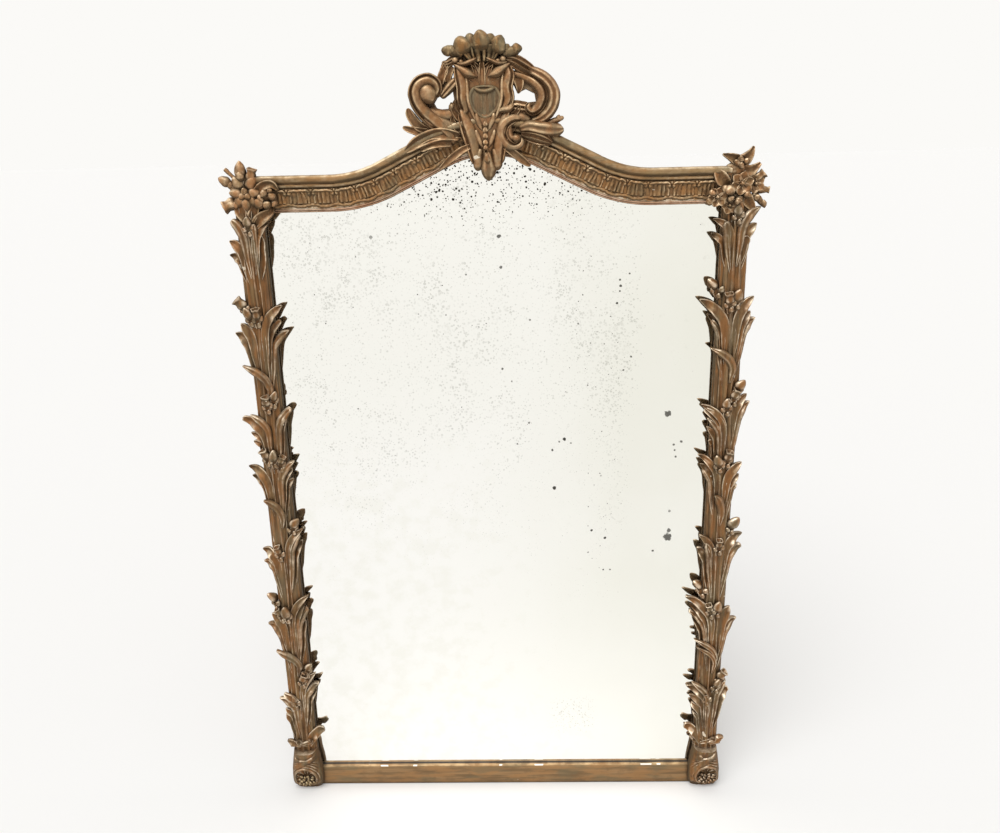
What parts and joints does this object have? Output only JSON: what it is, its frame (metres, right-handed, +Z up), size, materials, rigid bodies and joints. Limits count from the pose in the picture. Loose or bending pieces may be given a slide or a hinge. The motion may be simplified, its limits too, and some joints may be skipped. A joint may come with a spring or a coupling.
{
  "type": "overmantel mirror",
  "caption": "Tall overmantel mirror: arched top, gilt trunk-shaped stiles wrapped in palm leaves, corner flowers, pierced shell and scroll crest, plain bottom rail, foxed plate.",
  "frame": {"origin": "middle of the bottom rail's foot, where it stands on the shelf, half-way between the back plane and the core's face", "axes": "+Z up, +Y to the wall, +X to the right as seen from the front"},
  "size_m": [0.7882, 0.063, 1.2365],
  "materials": {
    "gilt": "aged gilding on gesso and wood, worn and toned brown",
    "pale_gilt": "aged gilding, rubbed paler",
    "bare_pine": "bare softwood, darkened by age",
    "silvered_glass": "old silvered glass with foxing",
    "iron": "black iron with light rust"
  },
  "bodies": {
    "frame": {"left_stile": "bare_pine", "right_stile": "bare_pine", "bottom_rail": "gilt", "top_rail": "bare_pine", "left_trunk": "gilt", "right_trunk": "gilt", "left_foot": "gilt", "right_foot": "gilt", "left_foot_rosette": "pale_gilt", "right_foot_rosette": "pale_gilt", "left_top_palm": "gilt", "left_palm_1": "gilt", "left_palm_2": "gilt", "left_palm_3": "gilt", "left_palm_4": "gilt", "left_palm_5": "gilt", "left_palm_6": "gilt", "left_base_leaves": "gilt", "right_top_palm": "gilt", "right_palm_1": "gilt", "right_palm_2": "gilt", "right_palm_3": "gilt", "right_palm_4": "gilt", "right_palm_5": "gilt", "right_palm_6": "gilt", "right_base_leaves": "gilt", "left_corner_flowers": "pale_gilt", "right_corner_flowers": "pale_gilt", "cap_moulding": "pale_gilt", "carved_band": "gilt", "band_panels": "gilt", "sight_bead": "pale_gilt", "crest_board": "pale_gilt", "crest_shell": "pale_gilt", "crest_collar": "pale_gilt", "crest_left_scroll": "pale_gilt", "crest_right_scroll": "pale_gilt", "crest_shield": "pale_gilt", "crest_straps": "pale_gilt", "crest_husk_drop": "pale_gilt", "crest_left_leaves": "pale_gilt", "crest_right_leaves": "pale_gilt", "crest_batten": "bare_pine", "crest_batten_screws": "iron", "mirror_plate": "silvered_glass", "glazing_blocks": "bare_pine", "left_backboard": "bare_pine", "middle_backboard": "bare_pine", "right_backboard": "bare_pine", "backboard_nails": "iron", "left_hanger_strap": "iron", "right_hanger_strap": "iron", "hanger_screws": "iron"},
    "left_ring": {"left_ring": "iron"},
    "right_ring": {"right_ring": "iron"}
  },
  "joints": [
    {"name": "left_ring_swing", "type": "hinge", "parent": "frame", "child": "left_ring", "pos_m": [-0.356, 0.016, 0.78], "axis": [1, 0, 0], "range_deg": [0, 180]},
    {"name": "right_ring_swing", "type": "hinge", "parent": "frame", "child": "right_ring", "pos_m": [0.356, 0.016, 0.78], "axis": [1, 0, 0], "range_deg": [0, 180]}
  ]
}
